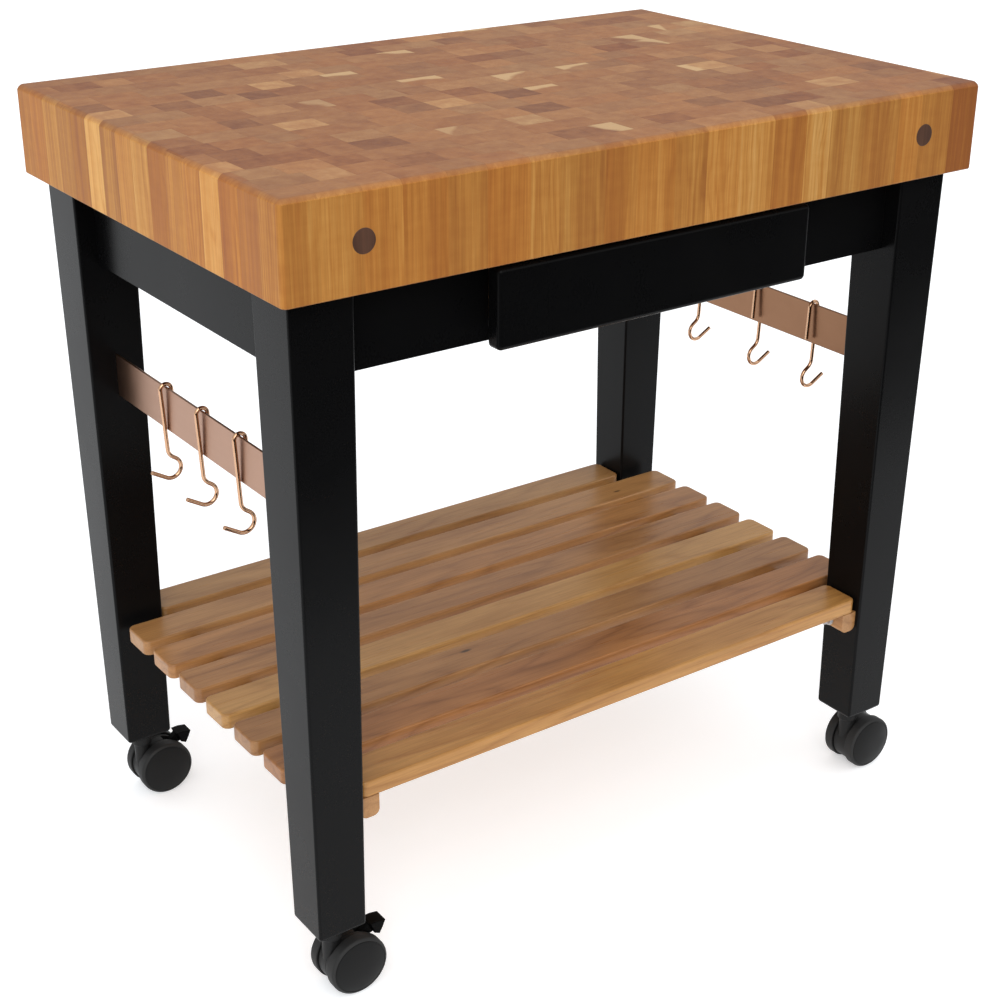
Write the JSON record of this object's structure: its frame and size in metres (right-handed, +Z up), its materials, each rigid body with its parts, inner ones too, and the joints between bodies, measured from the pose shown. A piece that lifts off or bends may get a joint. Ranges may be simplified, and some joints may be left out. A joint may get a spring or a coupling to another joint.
{
  "type": "butcher block table",
  "caption": "Free-standing table: thick end-grain wooden block on tapered legs, with a sliding drawer, hanging bars with S-hooks, a slatted shelf and twin-wheel swivel casters.",
  "frame": {"origin": "on the floor under the block's centre, 2.4 mm from the bottom centre of the bounding box, because the right casters' wheels reach 4.8 mm past the block", "axes": "+X along the block's length, -Y out of the drawer's front, +Z up"},
  "size_m": [0.9192, 0.6096, 0.9316],
  "materials": {
    "block_cherry": "oiled end-grain cherry, satin",
    "walnut": "oiled walnut, satin",
    "shelf_cherry": "long-grain cherry, satin varnish",
    "inner_wood": "plain maple, matt",
    "black_paint": "wood under satin black paint",
    "copper": "polished copper",
    "steel": "zinc plated",
    "caster_plastic": "moulded dark grey plastic",
    "wheel_plastic": "moulded dark grey plastic with a lighter tread",
    "lever_plastic": "black plastic"
  },
  "bodies": {
    "table": {"block_top": "block_cherry", "walnut_plugs": "walnut", "tie_rods": "steel", "leg_fl": "black_paint", "leg_fr": "black_paint", "leg_bl": "black_paint", "leg_br": "black_paint", "apron_front": "black_paint", "apron_back": "black_paint", "apron_left": "black_paint", "apron_right": "black_paint", "corner_braces": "inner_wood", "brace_bolts": "steel", "top_screws": "steel", "drawer_runners": "inner_wood", "copper_bar_left": "copper", "copper_bar_right": "copper", "slat_1": "shelf_cherry", "slat_2": "shelf_cherry", "slat_3": "shelf_cherry", "slat_4": "shelf_cherry", "slat_5": "shelf_cherry", "slat_6": "shelf_cherry", "slat_7": "shelf_cherry", "slat_8": "shelf_cherry", "cleat_left": "shelf_cherry", "cleat_right": "shelf_cherry", "slat_screws": "steel", "cleat_bolts": "steel", "caster_sockets": "steel"},
    "drawer": {"drawer_front": "black_paint", "drawer_side_left": "inner_wood", "drawer_side_right": "inner_wood", "drawer_back": "inner_wood", "drawer_bottom": "inner_wood"},
    "hook_left_1": {"hook_left_1": "copper"},
    "hook_left_2": {"hook_left_2": "copper"},
    "hook_left_3": {"hook_left_3": "copper"},
    "hook_right_1": {"hook_right_1": "copper"},
    "hook_right_2": {"hook_right_2": "copper"},
    "hook_right_3": {"hook_right_3": "copper"},
    "caster_fl": {"caster_fl_hood": "caster_plastic", "caster_fl_stem_axle": "steel"},
    "wheel_fl_front": {"caster_fl_wheel_front": "wheel_plastic"},
    "wheel_fl_back": {"caster_fl_wheel_back": "wheel_plastic"},
    "brake_fl": {"brake_lever_fl": "lever_plastic"},
    "caster_fr": {"caster_fr_hood": "caster_plastic", "caster_fr_stem_axle": "steel"},
    "wheel_fr_front": {"caster_fr_wheel_front": "wheel_plastic"},
    "wheel_fr_back": {"caster_fr_wheel_back": "wheel_plastic"},
    "caster_bl": {"caster_bl_hood": "caster_plastic", "caster_bl_stem_axle": "steel"},
    "wheel_bl_front": {"caster_bl_wheel_front": "wheel_plastic"},
    "wheel_bl_back": {"caster_bl_wheel_back": "wheel_plastic"},
    "brake_bl": {"brake_lever_bl": "lever_plastic"},
    "caster_br": {"caster_br_hood": "caster_plastic", "caster_br_stem_axle": "steel"},
    "wheel_br_front": {"caster_br_wheel_front": "wheel_plastic"},
    "wheel_br_back": {"caster_br_wheel_back": "wheel_plastic"}
  },
  "joints": [
    {"name": "drawer_slide", "type": "slide", "parent": "table", "child": "drawer", "axis": [0, -1, 0], "range_m": [0, 0.3]},
    {"name": "hook_left_1_slide", "type": "slide", "parent": "table", "child": "hook_left_1", "axis": [0, 1, 0], "range_m": [-0.083, 0.125]},
    {"name": "hook_left_2_slide", "type": "slide", "parent": "table", "child": "hook_left_2", "axis": [0, 1, 0], "range_m": [-0.082, 0.083]},
    {"name": "hook_left_3_slide", "type": "slide", "parent": "table", "child": "hook_left_3", "axis": [0, 1, 0], "range_m": [-0.11, 0.082]},
    {"name": "hook_right_1_slide", "type": "slide", "parent": "table", "child": "hook_right_1", "axis": [0, 1, 0], "range_m": [-0.114, 0.107]},
    {"name": "hook_right_2_slide", "type": "slide", "parent": "table", "child": "hook_right_2", "axis": [0, 1, 0], "range_m": [-0.095, 0.114]},
    {"name": "hook_right_3_slide", "type": "slide", "parent": "table", "child": "hook_right_3", "axis": [0, 1, 0], "range_m": [-0.084, 0.095]},
    {"name": "caster_fl_swivel", "type": "hinge", "parent": "table", "child": "caster_fl", "pos_m": [-0.404, -0.245, 0.093], "axis": [0, 0, 1], "continuous": true},
    {"name": "wheel_fl_front_spin", "type": "hinge", "parent": "caster_fl", "child": "wheel_fl_front", "pos_m": [-0.382, -0.245, 0.036], "axis": [0, 1, 0], "continuous": true},
    {"name": "wheel_fl_back_spin", "type": "hinge", "parent": "caster_fl", "child": "wheel_fl_back", "pos_m": [-0.382, -0.245, 0.036], "axis": [0, 1, 0], "continuous": true},
    {"name": "brake_fl_press", "type": "hinge", "parent": "caster_fl", "child": "brake_fl", "pos_m": [-0.368, -0.245, 0.056], "axis": [0, 1, 0], "range_deg": [0, 10]},
    {"name": "caster_fr_swivel", "type": "hinge", "parent": "table", "child": "caster_fr", "pos_m": [0.404, -0.245, 0.093], "axis": [0, 0, 1], "continuous": true},
    {"name": "wheel_fr_front_spin", "type": "hinge", "parent": "caster_fr", "child": "wheel_fr_front", "pos_m": [0.426, -0.245, 0.036], "axis": [0, 1, 0], "continuous": true},
    {"name": "wheel_fr_back_spin", "type": "hinge", "parent": "caster_fr", "child": "wheel_fr_back", "pos_m": [0.426, -0.245, 0.036], "axis": [0, 1, 0], "continuous": true},
    {"name": "caster_bl_swivel", "type": "hinge", "parent": "table", "child": "caster_bl", "pos_m": [-0.404, 0.245, 0.093], "axis": [0, 0, 1], "continuous": true},
    {"name": "wheel_bl_front_spin", "type": "hinge", "parent": "caster_bl", "child": "wheel_bl_front", "pos_m": [-0.382, 0.245, 0.036], "axis": [0, 1, 0], "continuous": true},
    {"name": "wheel_bl_back_spin", "type": "hinge", "parent": "caster_bl", "child": "wheel_bl_back", "pos_m": [-0.382, 0.245, 0.036], "axis": [0, 1, 0], "continuous": true},
    {"name": "brake_bl_press", "type": "hinge", "parent": "caster_bl", "child": "brake_bl", "pos_m": [-0.368, 0.245, 0.056], "axis": [0, 1, 0], "range_deg": [0, 10]},
    {"name": "caster_br_swivel", "type": "hinge", "parent": "table", "child": "caster_br", "pos_m": [0.404, 0.245, 0.093], "axis": [0, 0, 1], "continuous": true},
    {"name": "wheel_br_front_spin", "type": "hinge", "parent": "caster_br", "child": "wheel_br_front", "pos_m": [0.426, 0.245, 0.036], "axis": [0, 1, 0], "continuous": true},
    {"name": "wheel_br_back_spin", "type": "hinge", "parent": "caster_br", "child": "wheel_br_back", "pos_m": [0.426, 0.245, 0.036], "axis": [0, 1, 0], "continuous": true}
  ]
}
